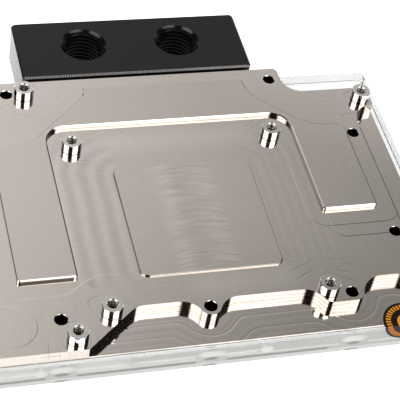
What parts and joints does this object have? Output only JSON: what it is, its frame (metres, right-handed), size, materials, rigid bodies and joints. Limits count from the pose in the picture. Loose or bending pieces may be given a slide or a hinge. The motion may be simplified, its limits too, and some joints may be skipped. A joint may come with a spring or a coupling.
{
  "type": "liquid cooling cold plate",
  "caption": "Nickel-plated full-cover cold plate for a graphics card, with a clear cover, pressed-in standoffs and a side block with threaded coolant ports.",
  "frame": {"origin": "on the clear cover's flat outer face, under the middle of the square of four chip standoffs", "axes": "+X along the card, +Y towards the port block, +Z out of the cold side, towards the card"},
  "size_m": [0.1674, 0.123, 0.015],
  "materials": {
    "nickel_plate": "satin",
    "clear_acrylic": "gloss",
    "black_acetal": "satin",
    "seal_rubber": "matte",
    "jet_steel": "satin",
    "screw_steel": "satin",
    "standoff_brass": "satin",
    "label_paper": "satin"
  },
  "bodies": {
    "root": {"base_plate": "nickel_plate", "clear_cover": "clear_acrylic", "main_gasket": "seal_rubber", "jet_plate": "jet_steel", "terminal_block": "black_acetal", "outlet_seal": "seal_rubber", "inlet_seal": "seal_rubber", "round_label": "label_paper", "terminal_screw_1": "screw_steel", "terminal_screw_2": "screw_steel", "terminal_screw_3": "screw_steel", "cover_screw_01": "screw_steel", "cover_screw_02": "screw_steel", "cover_screw_03": "screw_steel", "cover_screw_04": "screw_steel", "cover_screw_05": "screw_steel", "cover_screw_06": "screw_steel", "cover_screw_07": "screw_steel", "cover_screw_08": "screw_steel", "cover_screw_09": "screw_steel", "cover_screw_10": "screw_steel", "cover_screw_11": "screw_steel", "standoff_1": "standoff_brass", "standoff_2": "standoff_brass", "standoff_3": "standoff_brass", "standoff_4": "standoff_brass", "standoff_5": "standoff_brass", "standoff_6": "standoff_brass", "standoff_7": "standoff_brass", "standoff_8": "standoff_brass", "standoff_9": "standoff_brass"}
  },
  "joints": []
}
